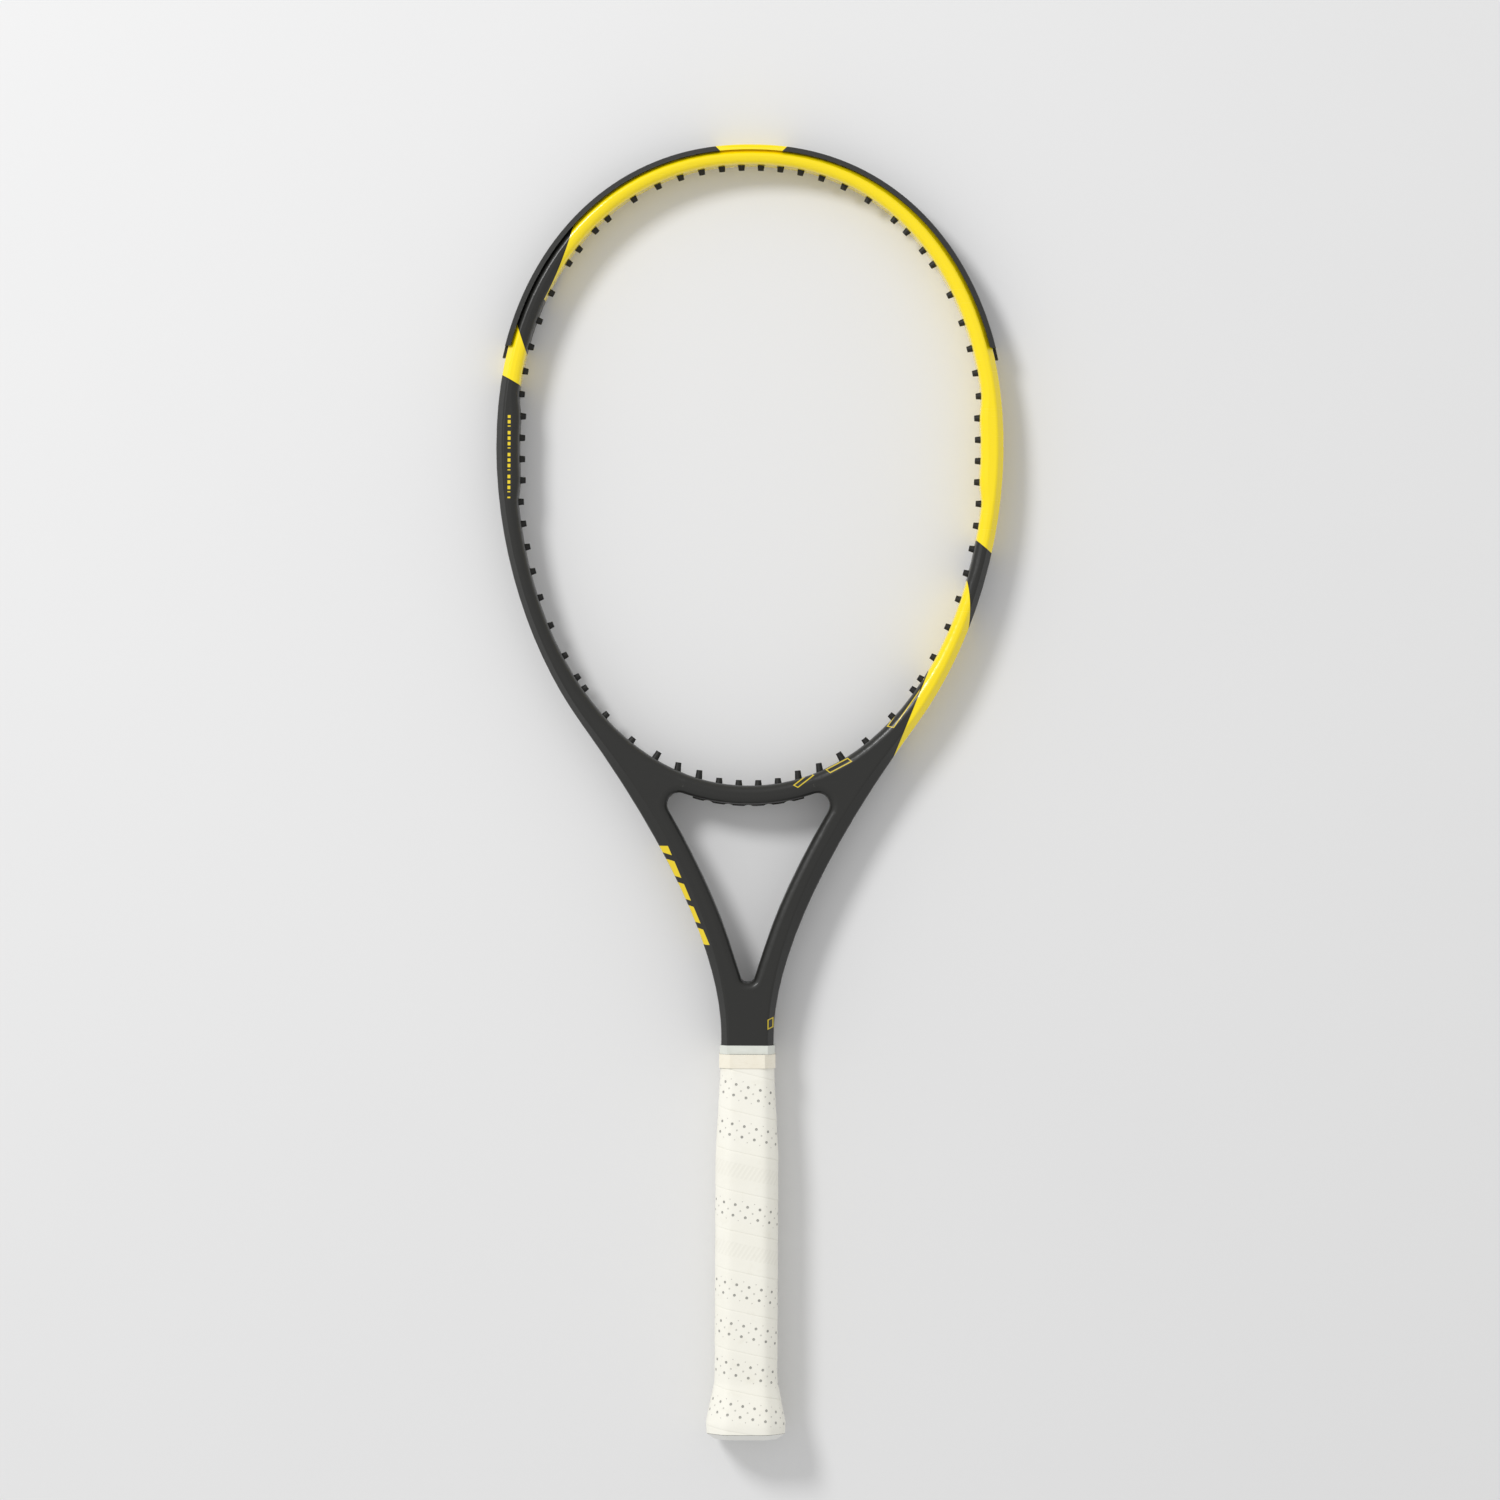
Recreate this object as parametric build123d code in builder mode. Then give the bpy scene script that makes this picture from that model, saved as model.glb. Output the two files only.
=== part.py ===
from build123d import *

import math
import os
from collections import namedtuple

# A 27 inch unstrung graphite tennis racket, as the pieces it comes apart into.
#
# The origin is the middle of the butt end. +Y runs up the racket to the tip of the
# head, +X to the right and +Z out of the front of the string plane, so the racket
# lies flat with the string plane at Z = 0. Everything is in millimetres.

os.makedirs("parts", exist_ok=True)

# ---------------------------------------------------------------- head
HEAD_Y = 525.0  # station where the head is widest
STRING_HALF_WIDTH = 124.4  # middle of the head to the inner face of the hoop
STRING_RISE = 151.0  # widest station up to the inner face at the tip
STRING_DROP = 178.7  # widest station down to the inner face at the bridge
STRING_POWERS = (2.15, 2.05)  # how square the upper and lower inner outline is
BAND_SIDE = 10.2  # hoop width at three and nine o'clock
BAND_TIP = 8.6  # hoop width at the tip
BAND_BRIDGE = 10.0  # width of the bridge
RIM_TAPER = 12.3  # how much longer the lower outer outline is than the inner one
RIM_POWERS = (2.15, 1.9)  # how square the upper and lower outer outline is
BULGE = 2.0  # height of the weight bulges at three and nine o'clock
BULGE_LENGTH = 47.0
BULGE_RAMP = 3.5
HOOP_ARCS = 16  # arcs that a closed outline is drawn in
SHAFT_ARCS = 3
ARC_POINTS = 9

# ---------------------------------------------------------------- throat and neck
RIM_JOIN_Y = HEAD_Y - 145.0  # where the shafts leave the egg of the hoop
NECK_HALF_WIDTH = 13.9
NECK_Y = 213.0  # where the shafts have become one straight neck
SHAFT_LEAD = 20.0  # pull of the shaft's curve at the hoop
SHAFT_TAIL = 64.0  # pull of the shaft's curve at the neck
SHAFT_WIDTH = 13.4
CROTCH_Y = 242.0  # bottom of the throat opening
CROTCH_RADIUS = 3.0
THROAT_CORNER_RADIUS = 6.5
SEAM_X = 32.6  # the bridge's seams, to each side of the middle

# ---------------------------------------------------------------- beam
HALF_HEIGHT = 11.5  # half of the beam
WALL = 1.5
RIM_BEVEL = 3.4  # bevel along the outer edges, across the face
RIM_BEVEL_DEPTH = 4.6  # the same bevel, down the side
SHAFT_BEVEL = 2.4  # how much wider the bevel gets along the shafts
RIDGE_ROUND = 1.6  # rounding of the bevels' own edges
INNER_ROUND = 4.0  # rounding along the two openings
CAVITY_STEP = 1.2  # how much the cavity steps in under the rounding
NECK_WEB = 1.4  # wall between the two tubes of the neck

# ---------------------------------------------------------------- strings and grommets
MAINS_PER_SIDE = 8
MAIN_PITCH = 10.4  # between the two middle mains
MAIN_SPREAD = 0.0338  # growth of the pitch towards the sides
CROSSES_FROM_CENTRE = 9
CROSS_Y = HEAD_Y - 5.7  # middle cross
CROSS_PITCH = 11.27
CROSS_SPREAD = 0.0288
BUMPER_CROSSES = 5  # crosses whose holes belong to the bumper guard
BRIDGE_MAINS = 4  # mains on each side whose holes belong to the bridge strip
BRIDGE_LEAN = 0.35  # share of the outline's lean that those holes follow
STRING_BORE = 1.1  # radius of a string hole
BARREL_RADIUS = 1.9
BARREL_TIP_RADIUS = 1.55
BARREL_REACH = 2.8  # how far a barrel stands into the head
BARREL_REACH_LONG = 4.4  # the same for the lower mains beside the bridge
LONG_BARRELS = (3, 4, 5)  # those mains, counted from the middle
BARREL_CLEARANCE = 0.08

STRIP_WIDTH = 6.4
STRIP_THICKNESS = 1.3
FIT_GAP = 0.08  # around a strip or a cap in its seat
GROOVE_DEPTH = STRIP_THICKNESS + 2 * FIT_GAP
STRIP_END_Y = HEAD_Y - 198.0  # lower end of the side strips
THROAT_STRIP_HALF = 40.6  # half length of the strip at the bridge
THROAT_PAD = 0.9  # how far the strip's pad stands out of the bridge
THROAT_PAD_HALF = 29.6
BUMPER_THICKNESS = 1.8
BUMPER_COVER = 1.2  # how far its wings reach in over the bevel
BUMPER_END_Y = HEAD_Y + 48.0
WING_END_Y = HEAD_Y + 54.0
WING_HALF_GAP = 25.0  # the wings stop this far from the middle of the tip
STRIP_JOINT = 0.5  # between the bumper guard and a side strip
GUTTER_WIDTH = 3.4  # the strings' gutter along the bumper guard
GUTTER_DEPTH = 0.9
RIB_RADIUS = 5.0
RIB_DEPTH = 0.5

# ---------------------------------------------------------------- handle
HANDLE_TOP = 207.0  # end of the pallet, under the collar
SHANK_HALF_WIDTH = 11.4
SHANK_HALF_DEPTH = 9.4
SHANK_ROUND = 2.5
SHANK_END = 12.0
PALLET_HALF_WIDTH = 14.9
PALLET_HALF_DEPTH = 13.1
PALLET_CORNER = 5.6  # how much each corner of the octagon is cut back
PALLET_END = 4.0
PALLET_SLIM_Y = HANDLE_TOP - 57.0  # above this the pallet tapers towards the neck
PALLET_SLIM = 1.9
CAP_TOP = 30.0  # mouth of the butt cap
CAP_WALL = 1.2
CAP_FLARE_Y = 8.0  # widest station of the butt
CAP_FLARE = 4.5  # how much the butt stands out there
CAP_LIP_Y = 3.0
CAP_LIP = 1.2
CAP_CHAMFER = 4.1
GRIP_THICKNESS = 1.9
GRIP_END = CAP_LIP_Y + 0.2
GRIP_SLIM_Y = HANDLE_TOP - 14.0
TAPE_THICKNESS = 0.35
TAPE_BOTTOM = HANDLE_TOP - 10.4
TAPE_TOP = HANDLE_TOP - 3.1
COLLAR_BOTTOM = TAPE_TOP + 0.1
COLLAR_TOP = HANDLE_TOP + 1.6
COLLAR_THICKNESS = 0.55
WRAP_GAP = 0.05  # under the grip, the tape and the collar
DOOR_RADIUS = 9.4
DOOR_GAP = 0.1
DOOR_THICKNESS = 1.4
DOOR_LEDGE = 1.5
CLIP_WIDTH = 5.0
CLIP_THICKNESS = 1.1
CLIP_LENGTH = 6.0
STAPLE_WIRE = 1.0
STAPLE_CROWN = 9.0
STAPLE_Y = 22.0
TACK_Y = 15.0
TACK_HEAD_RADIUS = 2.2
TACK_HEAD = 0.7
TACK_RADIUS = 0.6
NAIL_GAP = 0.03
NAIL_TIP = 0.5  # what is left between a nail's tip and the shank

REACH = 4 * HALF_HEIGHT  # more than the racket is thick
WIDE = 2 * (STRING_HALF_WIDTH + BAND_SIDE) + REACH  # more than the racket is wide
STRING_BOTTOM_Y = HEAD_Y - STRING_DROP
RIM_TOP_Y = HEAD_Y + STRING_RISE + BAND_TIP
TOP_Y = RIM_TOP_Y + REACH


# ---------------------------------------------------------------- outlines
def egg(angle, half_width, rise, drop, powers):
    """A point on an egg whose upper and lower halves are superellipses."""
    across, along = math.cos(angle), math.sin(angle)
    power = powers[0] if along >= 0 else powers[1]
    height = rise if along >= 0 else drop
    x = half_width * math.copysign(abs(across) ** (2 / power), across)
    y = height * math.copysign(abs(along) ** (2 / power), along)
    return x, HEAD_Y + y


def string_edge(angle):
    """The hoop's inner outline, with its two weight bulges."""
    x, y = egg(angle, STRING_HALF_WIDTH, STRING_RISE, STRING_DROP, STRING_POWERS)
    rising = math.tanh((y - HEAD_Y + BULGE_LENGTH / 2) / BULGE_RAMP)
    falling = math.tanh((y - HEAD_Y - BULGE_LENGTH / 2) / BULGE_RAMP)
    side = math.tanh(4 * x / STRING_HALF_WIDTH)
    return x - side * BULGE * (rising - falling) / 2, y


def rim_edge(angle):
    """The hoop's outer outline."""
    return egg(
        angle,
        STRING_HALF_WIDTH + BAND_SIDE,
        STRING_RISE + BAND_TIP,
        STRING_DROP + BAND_BRIDGE + RIM_TAPER,
        RIM_POWERS,
    )


def normal_at(curve, angle):
    """Outward unit normal of a curve that runs anticlockwise."""
    step = 1e-4
    x0, y0 = curve(angle - step)
    x1, y1 = curve(angle + step)
    length = math.hypot(x1 - x0, y1 - y0)
    return (y1 - y0) / length, (x0 - x1) / length


def grown(curve, angle, distance):
    """A point of the curve moved out of it by a distance."""
    x, y = curve(angle)
    nx, ny = normal_at(curve, angle)
    return x + nx * distance, y + ny * distance


def angle_where(curve, low, high, reached):
    """Bisection: the angle between low and high where reached(x, y) turns true."""
    for _ in range(60):
        middle = (low + high) / 2
        if reached(*curve(middle)):
            high = middle
        else:
            low = middle
    return (low + high) / 2


RIM_JOIN = angle_where(rim_edge, -math.pi / 2, 0, lambda x, y: y > RIM_JOIN_Y)


def shaft_edge(share):
    """The outer side of the right shaft, from the neck (0) up to the hoop (1)."""
    top = rim_edge(RIM_JOIN)
    nx, ny = normal_at(rim_edge, RIM_JOIN)
    lead = (top[0] + ny * SHAFT_LEAD, top[1] - nx * SHAFT_LEAD)
    tail = (NECK_HALF_WIDTH, NECK_Y + SHAFT_TAIL)
    foot = (NECK_HALF_WIDTH, NECK_Y)
    rest = 1 - share
    weights = (rest**3, 3 * rest**2 * share, 3 * rest * share**2, share**3)
    points = (foot, tail, lead, top)
    return tuple(sum(w * p[k] for w, p in zip(weights, points)) for k in (0, 1))


def side_edge(place):
    """The racket's right outer side: 0 to 1 is the shaft, and above 1 the hoop."""
    if place <= 1:
        return shaft_edge(max(place, 0.0))
    return rim_edge(RIM_JOIN + (place - 1))


def steps(first, last, count):
    """Evenly spaced values, both ends included."""
    return [first + (last - first) * i / (count - 1) for i in range(count)]


def mirrored(points):
    """The same points on the other side of the racket, in reverse order."""
    return [(-x, y) for x, y in reversed(points)]


def arcs(curve, first, last, count, grow):
    """A curve moved out by grow(place), as smooth arcs between two of its places."""
    marks = steps(first, last, count + 1)
    for low, high in zip(marks, marks[1:]):
        ends = [normal_at(curve, mark) for mark in (low, high)]
        places = steps(low, high, ARC_POINTS)
        points = [grown(curve, place, grow(place)) for place in places]
        Spline(*points, tangents=[(-ny, nx) for nx, ny in ends])


def left_shaft_edge(share):
    """The outer side of the left shaft, from the hoop (0) down to the neck (1)."""
    x, y = shaft_edge(1 - share)
    return -x, y


def outer_outline(grow, bottom, bevel=0.0):
    """The racket's outer outline, grown and bevelled, down to a straight bottom."""
    neck = NECK_HALF_WIDTH + grow - bevel
    wider = SHAFT_BEVEL * bevel / RIM_BEVEL

    def on_shaft(share):
        return grow - bevel - wider * math.sin(math.pi * share) ** 2

    arcs(shaft_edge, 0, 1, SHAFT_ARCS, on_shaft)
    arcs(rim_edge, RIM_JOIN, math.pi - RIM_JOIN, HOOP_ARCS, lambda a: grow - bevel)
    arcs(left_shaft_edge, 0, 1, SHAFT_ARCS, on_shaft)
    Polyline((-neck, NECK_Y), (-neck, bottom), (neck, bottom), (neck, NECK_Y))


def head_outline(grow):
    """The head opening's closed outline, grown."""
    arcs(string_edge, 0, 2 * math.pi, HOOP_ARCS, lambda a: grow)


def throat_sides(grow):
    """The throat opening's two sides and its foot, open at the top."""
    shares = steps(0.12, 0.78, 9)
    side = [grown(shaft_edge, s, -SHAFT_WIDTH + grow) for s in shares]
    (x0, y0), (x1, y1) = side[0], side[-1]
    crotch = CROTCH_Y - grow
    side = [p for p in side if p[1] > crotch + 8]
    foot = (CROTCH_RADIUS + grow, crotch)
    Spline(foot, *side)
    Line(side[-1], (side[-1][0], HEAD_Y))
    Line((side[-1][0], HEAD_Y), (-side[-1][0], HEAD_Y))
    Line((-side[-1][0], HEAD_Y), (-side[-1][0], side[-1][1]))
    Spline(*mirrored(side), (-foot[0], crotch))
    Line((-foot[0], crotch), foot)


def throat_prism(grow, half_height):
    """The throat opening as a block with rounded corners."""
    with BuildPart() as block:
        with BuildSketch():
            with BuildLine():
                throat_sides(grow)
            make_face()
            with BuildLine():
                head_outline(BAND_BRIDGE - grow)
            make_face(mode=Mode.SUBTRACT)
        extrude(amount=half_height, both=True)
        middle = (CROTCH_Y + STRING_BOTTOM_Y) / 2
        upright = block.edges().filter_by(Axis.Z)
        fillet(upright.filter_by(lambda edge: edge.center().Y > middle), THROAT_CORNER_RADIUS - grow)
        upright = block.edges().filter_by(Axis.Z)
        fillet(upright.filter_by(lambda edge: edge.center().Y < middle), CROTCH_RADIUS + grow)
    return block.part


def beam(grow, bottom, half_height):
    """The outline as a block with its two outer bevels."""
    side = half_height - RIM_BEVEL_DEPTH
    with BuildPart() as block:
        with BuildSketch():
            with BuildLine():
                outer_outline(grow, bottom)
            make_face()
        extrude(amount=side, both=True)
        for facing in 1, -1:
            with BuildSketch(Plane.XY.offset(facing * side)):
                with BuildLine():
                    outer_outline(grow, bottom)
                make_face()
            with BuildSketch(Plane.XY.offset(facing * half_height)):
                with BuildLine():
                    outer_outline(grow, bottom, RIM_BEVEL)
                make_face()
            loft(ruled=True)
        for level in side, half_height, -side, -half_height:
            ridge = block.edges().filter_by_position(Axis.Z, level, level)
            fillet(ridge.filter_by_position(Axis.Y, bottom + 1, TOP_Y), RIDGE_ROUND)
    return block.part


def pierced_slab(grow, bevel, opening_grow, bottom, half_height):
    """The racket's outline with both openings, as a flat slab."""
    with BuildPart() as slab:
        with BuildSketch():
            with BuildLine():
                outer_outline(grow, bottom, bevel)
            make_face()
            with BuildLine():
                head_outline(opening_grow)
            make_face(mode=Mode.SUBTRACT)
        extrude(amount=half_height, both=True, clean=False)
        add(throat_prism(opening_grow, REACH), mode=Mode.SUBTRACT, clean=False)
    return slab.part


def pierced_beam():
    """The beam with its two openings, their edges rounded."""
    with BuildPart() as block:
        add(beam(0.0, HANDLE_TOP, HALF_HEIGHT))
        with BuildSketch():
            with BuildLine():
                head_outline(0.0)
            make_face()
        extrude(amount=REACH, both=True, mode=Mode.SUBTRACT, clean=False)
        add(throat_prism(0.0, REACH), mode=Mode.SUBTRACT, clean=False)
        for end in 0, -1:
            face = block.faces().filter_by(Plane.XY).sort_by(Axis.Z)[end]
            fillet([e for wire in face.inner_wires() for e in wire.edges()], INNER_ROUND)
    return block.part


def outline_band(inside, outside, half_width, low, high):
    """A band round the rim between two offsets of the outline and two stations."""
    with BuildPart() as band:
        with BuildSketch():
            with BuildLine():
                outer_outline(outside, HANDLE_TOP)
            make_face()
            with BuildLine():
                outer_outline(inside, HANDLE_TOP)
            make_face(mode=Mode.SUBTRACT)
        extrude(amount=half_width, both=True)
        with Locations((0, (low + high) / 2, 0)):
            Box(WIDE, high - low, REACH, mode=Mode.INTERSECT)
    return band.part


def throat_band(inside, outside, half_width, half_length):
    """A band along the bridge, in the top of the throat opening."""
    with BuildPart() as band:
        add(throat_prism(outside, half_width))
        add(throat_prism(inside, REACH), mode=Mode.SUBTRACT)
        low = STRING_BOTTOM_Y - BAND_BRIDGE - 1.5
        with Locations((0, low + REACH / 2, 0)):
            Box(2 * half_length, REACH, REACH, mode=Mode.INTERSECT)
    return band.part


# ---------------------------------------------------------------- string holes
def outer_half_width(y):
    """Half width of the racket's outer outline at a station."""
    if y >= RIM_TOP_Y:
        return 0.0
    top = 1 + math.pi / 2 - RIM_JOIN
    return side_edge(angle_where(side_edge, 0, top, lambda px, py: py > y))[0]


Hole = namedtuple("Hole", "x y nx ny length reach")


def hole_from(x, y, nx, ny, reach):
    """A string hole from the inner face straight out through the rim."""
    near, far = BAND_TIP / 2, STRING_DROP
    for _ in range(40):
        middle = (near + far) / 2
        px, py = x + nx * middle, y + ny * middle
        if abs(px) > outer_half_width(py):
            far = middle
        else:
            near = middle
    return Hole(x, y, nx, ny, near, reach)


def hole_at(angle, reach):
    """A string hole square to the inner outline."""
    x, y = string_edge(angle)
    nx, ny = normal_at(string_edge, angle)
    return hole_from(x, y, nx, ny, reach)


def bridge_hole(angle, reach):
    """A string hole through the bridge into the throat opening."""
    x, y = string_edge(angle)
    lean = math.asin(normal_at(string_edge, angle)[0]) * BRIDGE_LEAN
    return Hole(x, y, math.sin(lean), -math.cos(lean), BAND_BRIDGE, reach)


def main_x(number):
    """Distance of a main from the middle, counted from 1."""
    place = number - 0.5
    return place * (MAIN_PITCH + MAIN_SPREAD * place**2)


def cross_y(number):
    """Station of a cross, counted from the middle cross."""
    return CROSS_Y + number * (CROSS_PITCH + CROSS_SPREAD * number**2)


bumper_holes = []
side_holes = []
bridge_holes = []
for number in range(1, MAINS_PER_SIDE + 1):
    top = angle_where(
        string_edge, 0, math.pi / 2, lambda px, py: px < main_x(number)
    )
    bottom = angle_where(
        string_edge, -math.pi / 2, 0, lambda px, py: px > main_x(number)
    )
    reach = BARREL_REACH_LONG if number in LONG_BARRELS else BARREL_REACH
    bumper_holes.append(hole_at(top, BARREL_REACH))
    if number <= BRIDGE_MAINS:
        bridge_holes.append(bridge_hole(bottom, reach))
    else:
        side_holes.append(hole_at(bottom, reach))
for number in range(-CROSSES_FROM_CENTRE, CROSSES_FROM_CENTRE + 1):
    level = angle_where(
        string_edge, -math.pi / 2, math.pi / 2, lambda px, py: py > cross_y(number)
    )
    if number > CROSSES_FROM_CENTRE - BUMPER_CROSSES:
        bumper_holes.append(hole_at(level, BARREL_REACH))
    else:
        side_holes.append(hole_at(level, BARREL_REACH))


def both_sides(holes):
    """The holes of the right half with those of the left half."""
    return holes + [hole._replace(x=-hole.x, nx=-hole.nx) for hole in holes]


def bored(holes, radius, before, beyond):
    """Cylinders along string holes, from inside the head to outside the rim."""
    for hole in holes:
        outward = Plane(origin=(hole.x, hole.y, 0), z_dir=(hole.nx, hole.ny, 0))
        with BuildPart() as pin:
            with BuildSketch(outward.offset(-before)):
                Circle(radius)
            extrude(amount=before + hole.length + beyond)
        yield pin.part


def barrels(holes, beyond):
    """Grommet barrels along string holes, tapered where they stand in the head."""
    for hole in holes:
        inward = Plane(origin=(hole.x, hole.y, 0), z_dir=(-hole.nx, -hole.ny, 0))
        with BuildPart() as tube:
            with BuildSketch(inward.offset(-hole.length - beyond)):
                Circle(BARREL_RADIUS)
            extrude(amount=hole.length + beyond)
            with BuildSketch(inward):
                Circle(BARREL_RADIUS)
            with BuildSketch(inward.offset(hole.reach)):
                Circle(BARREL_TIP_RADIUS)
            loft()
        yield tube.part


def scoops(holes, proud):
    """Shallow rounded notches half way between neighbouring string holes."""
    row = sorted(both_sides(holes), key=lambda hole: hole.nx)
    places = []
    for one, two in zip(row, row[1:]):
        nx, ny = (one.nx + two.nx) / 2, (one.ny + two.ny) / 2
        out = proud + RIB_RADIUS - RIB_DEPTH
        x = (one.x + one.nx * one.length + two.x + two.nx * two.length) / 2
        y = (one.y + one.ny * one.length + two.y + two.ny * two.length) / 2
        places.append((x + nx * out, y + ny * out))
    with BuildPart() as notches:
        with Locations(*places):
            Cylinder(RIB_RADIUS, REACH)
    return notches.part


every_hole = both_sides(bumper_holes + side_holes + bridge_holes)

# ---------------------------------------------------------------- frame and bridge
seam_angle = angle_where(
    string_edge, -math.pi / 2, 0, lambda px, py: px > SEAM_X
)
seam_x, seam_y = string_edge(seam_angle)
seam_nx, seam_ny = normal_at(string_edge, seam_angle)
seam_planes = [
    Plane(origin=(side * seam_x, seam_y, 0), x_dir=(side * seam_nx, seam_ny, 0),
          z_dir=(side * -seam_ny, seam_nx, 0))
    for side in (1, -1)
]

with BuildPart() as inner_walls:
    for plane in seam_planes:
        with Locations(plane):
            Box(REACH, REACH, 2 * WALL)
    with Locations((0, (SHANK_END + CROTCH_Y) / 2, 0)):
        Box(NECK_WEB, CROTCH_Y - SHANK_END + REACH / 4, REACH)

with BuildPart() as cavity:
    low = HANDLE_TOP + WALL
    wide = HALF_HEIGHT - RIM_BEVEL_DEPTH - WALL / 3
    add(pierced_slab(-WALL, 0, WALL, low, wide), clean=False)
    narrow = HALF_HEIGHT - WALL
    inner = WALL + CAVITY_STEP
    add(pierced_slab(WALL / 3 - WALL, RIM_BEVEL, inner, low, narrow), clean=False)
    with BuildSketch(Plane.XZ.offset(-HANDLE_TOP - 2 * WALL)):
        Rectangle(2 * (SHANK_HALF_WIDTH - WALL), 2 * (SHANK_HALF_DEPTH - WALL))
    extrude(amount=HANDLE_TOP - SHANK_END + 3 * WALL, clean=False)
    add(inner_walls.part, mode=Mode.SUBTRACT, clean=False)

HALF_GROOVE = STRIP_WIDTH / 2 + FIT_GAP
rim_groove = outline_band(-GROOVE_DEPTH, 2 * WALL, HALF_GROOVE, STRIP_END_Y - FIT_GAP, TOP_Y)
throat_groove = throat_band(-WALL, GROOVE_DEPTH, HALF_GROOVE, THROAT_STRIP_HALF + FIT_GAP)
frame_bores = list(bored(every_hole, BARREL_RADIUS + BARREL_CLEARANCE, 2 * WALL, 2 * WALL))

with BuildPart() as blank:
    add(pierced_beam(), clean=False)
    with BuildSketch(Plane.XZ.offset(-HANDLE_TOP)):
        RectangleRounded(2 * SHANK_HALF_WIDTH, 2 * SHANK_HALF_DEPTH, SHANK_ROUND)
    extrude(amount=HANDLE_TOP - SHANK_END, clean=False)
    add(cavity.part, mode=Mode.SUBTRACT, clean=False)
    add(rim_groove, mode=Mode.SUBTRACT, clean=False)
    add(throat_groove, mode=Mode.SUBTRACT, clean=False)
    for first in range(0, len(frame_bores), MAINS_PER_SIDE):
        few = frame_bores[first : first + MAINS_PER_SIDE]
        add(few, mode=Mode.SUBTRACT, clean=False)

with BuildPart() as bridge_region:
    with BuildSketch():
        with BuildLine():
            low, high = [
                [plane.from_local_coords((far, 0, 0)) for plane in seam_planes]
                for far in (2 * BAND_BRIDGE, -2 * BAND_BRIDGE)
            ]
            Polyline(low[0], high[0], high[1], low[1], close=True)
        make_face()
    extrude(amount=REACH, both=True)

with BuildPart() as frame_tube:
    add(blank.part, clean=False)
    add(bridge_region.part, mode=Mode.SUBTRACT, clean=False)

with BuildPart() as throat_bridge:
    add(blank.part, clean=False)
    add(bridge_region.part, mode=Mode.INTERSECT, clean=False)


# ---------------------------------------------------------------- grommet strips
def side_strip(holes, side):
    """A side's grommet strip, from the bumper guard down to the lowest hole."""
    own = [hole for hole in both_sides(holes) if side * hole.x > 0]
    low, high = STRIP_END_Y, BUMPER_END_Y - STRIP_JOINT
    with BuildPart() as strip:
        outer, inner = -FIT_GAP, -FIT_GAP - STRIP_THICKNESS
        add(outline_band(inner, outer, STRIP_WIDTH / 2, low, high))
        with Locations((side * WIDE / 2, HEAD_Y, 0)):
            Box(WIDE, 2 * HEAD_Y, REACH, mode=Mode.INTERSECT)
        add(list(barrels(own, WALL)))
        with BuildSketch():
            with BuildLine():
                outer_outline(outer, HANDLE_TOP)
            make_face()
        extrude(amount=STRIP_WIDTH, both=True, mode=Mode.INTERSECT)
        add(list(bored(own, STRING_BORE, 2 * BARREL_REACH_LONG, 2 * WALL)), mode=Mode.SUBTRACT)
    return strip.part


with BuildPart() as grommet_strip_right:
    add(side_strip(side_holes, 1))

with BuildPart() as grommet_strip_left:
    add(side_strip(side_holes, -1))

with BuildPart() as grommet_strip_throat:
    own = both_sides(bridge_holes)
    inner, outer = FIT_GAP, FIT_GAP + STRIP_THICKNESS
    add(throat_band(inner, outer, STRIP_WIDTH / 2, THROAT_STRIP_HALF))
    add(list(barrels(own, 0)))
    add(throat_prism(inner, STRIP_WIDTH), mode=Mode.SUBTRACT)
    add(throat_band(-THROAT_PAD, inner, STRIP_WIDTH / 2, THROAT_PAD_HALF))
    add(scoops(bridge_holes, THROAT_PAD), mode=Mode.SUBTRACT)
    add(list(bored(own, STRING_BORE, 2 * BARREL_REACH_LONG, 2 * WALL)), mode=Mode.SUBTRACT)

# ---------------------------------------------------------------- bumper guard
with BuildPart() as bumper_guard:
    own = both_sides(bumper_holes)
    add(beam(BUMPER_THICKNESS, HANDLE_TOP, HALF_HEIGHT + BUMPER_THICKNESS / 2))
    add(beam(FIT_GAP, HANDLE_TOP, HALF_HEIGHT + FIT_GAP), mode=Mode.SUBTRACT)
    with BuildSketch():
        with BuildLine():
            outer_outline(-BUMPER_COVER, HANDLE_TOP)
        make_face()
    extrude(amount=REACH, both=True, mode=Mode.SUBTRACT)
    with Locations((0, WING_END_Y + WIDE / 2, 0)):
        Box(WIDE, WIDE, REACH, mode=Mode.INTERSECT)
    for facing in 1, -1:
        inner_side = HALF_HEIGHT - RIM_BEVEL_DEPTH + BUMPER_THICKNESS
        with Locations((0, TOP_Y, facing * (inner_side + REACH / 2))):
            Box(2 * WING_HALF_GAP, REACH * 2, REACH, mode=Mode.SUBTRACT)
    outer = BUMPER_THICKNESS
    add(outline_band(-GROOVE_DEPTH + FIT_GAP, outer, STRIP_WIDTH / 2, BUMPER_END_Y, TOP_Y))
    add(list(barrels(own, 0)))
    gutter_floor = BUMPER_THICKNESS - GUTTER_DEPTH
    gutter = outline_band(gutter_floor, 3 * outer, GUTTER_WIDTH / 2, BUMPER_END_Y, TOP_Y)
    add(gutter, mode=Mode.SUBTRACT)
    add(list(bored(own, STRING_BORE, 2 * BARREL_REACH, 3 * WALL)), mode=Mode.SUBTRACT)


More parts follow.
